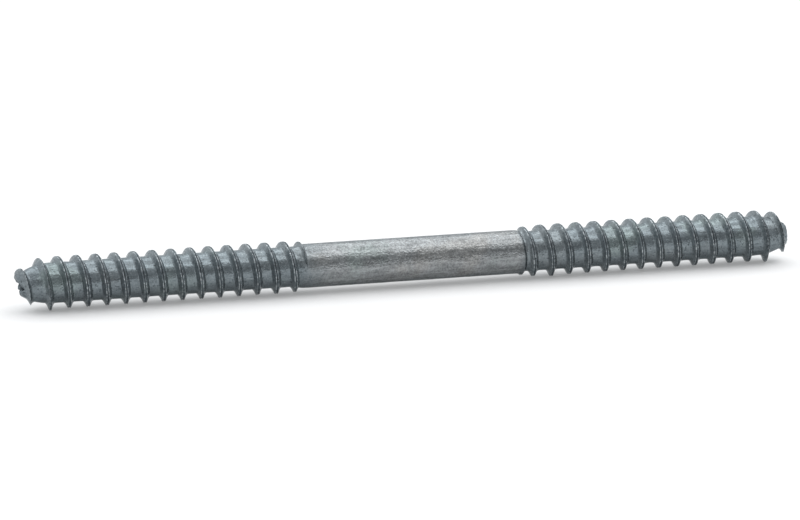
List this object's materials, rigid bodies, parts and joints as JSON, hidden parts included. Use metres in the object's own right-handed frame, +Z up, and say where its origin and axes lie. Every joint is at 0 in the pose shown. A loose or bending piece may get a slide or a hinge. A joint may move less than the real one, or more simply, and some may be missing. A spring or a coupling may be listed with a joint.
{
  "type": "dowel screw",
  "caption": "Double-ended steel wood screw with a plain shank, coarse right-hand thread on both ends and blunt tapered tips, galvanised.",
  "frame": {"origin": "on the screw's own axis, at the middle of its length", "axes": "+X along the axis from one tip to the other, +Z up as the screw lies on its crests"},
  "size_m": [0.249, 0.016, 0.016],
  "materials": {
    "galvanised_steel": "zinc galvanised, dull grey with a fine mottled sheen"
  },
  "bodies": {
    "root": {"dowel_screw": "galvanised_steel"}
  },
  "joints": []
}
